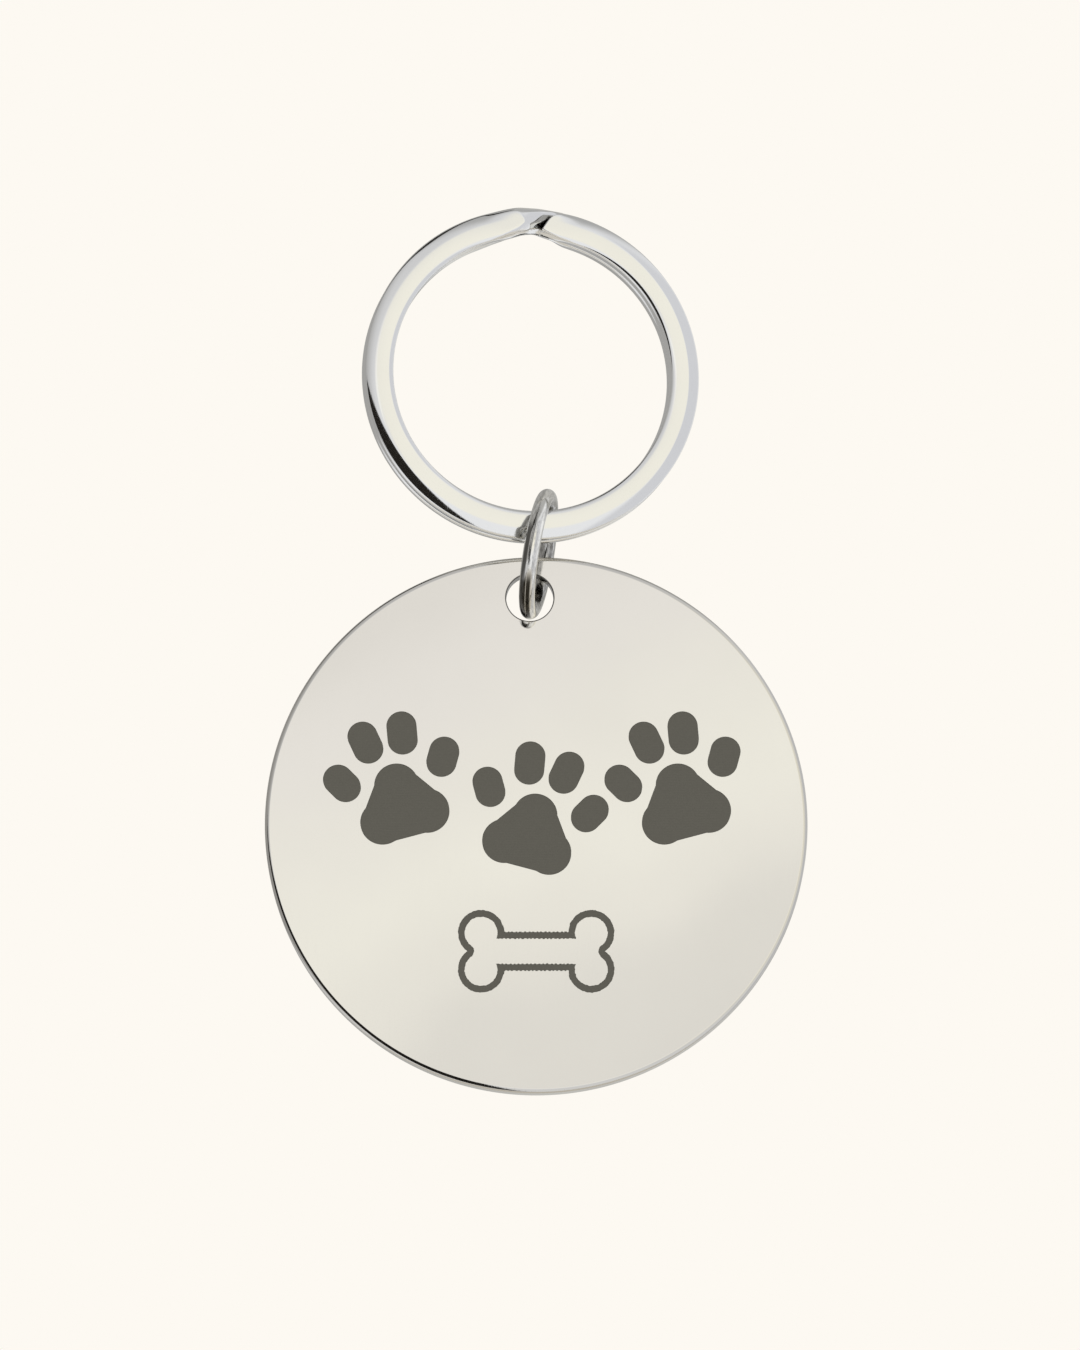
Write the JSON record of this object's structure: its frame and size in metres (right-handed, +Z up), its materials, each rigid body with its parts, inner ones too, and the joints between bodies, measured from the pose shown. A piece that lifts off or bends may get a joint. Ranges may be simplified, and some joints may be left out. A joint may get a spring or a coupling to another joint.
{
  "type": "pet id tag",
  "caption": "Round polished metal pet tag, engraved with a row of paw prints and a bone outline, hung by a plain jump ring from a flat-wire split ring that loops onto a collar.",
  "frame": {"origin": "top of the split ring's opening, half way through its depth, where the loop of a collar holds it", "axes": "+Z up, from the tag to the collar; -Y the way the engraved face looks; +X to the right as seen by someone reading the tag"},
  "size_m": [0.032, 0.0078, 0.0527],
  "materials": {
    "split_ring": "bright nickel-plated spring steel, flattened wire",
    "jump_ring": "plain round steel wire, polished, a little darker than the tag",
    "tag_disc": "mirror-polished stainless steel with faint handling marks",
    "dark_fill": "dark grey matt fill in the engraving"
  },
  "bodies": {
    "split_ring": {"split_ring": "split_ring"},
    "jump_ring": {"jump_ring": "jump_ring"},
    "tag": {"tag_disc": "tag_disc", "paw_marks": "dark_fill", "bone_mark": "dark_fill"}
  },
  "joints": [
    {"name": "jump_ring_swing", "type": "hinge", "parent": "split_ring", "child": "jump_ring", "pos_m": [0, 0, -0.01755], "axis": [0.9903, 0.1392, 0], "range_deg": [-155, 45]},
    {"name": "tag_swing", "type": "hinge", "parent": "jump_ring", "child": "tag", "pos_m": [-0.00004, 0.00196, -0.02141], "axis": [0, 1, 0], "range_deg": [-20, 35]}
  ]
}
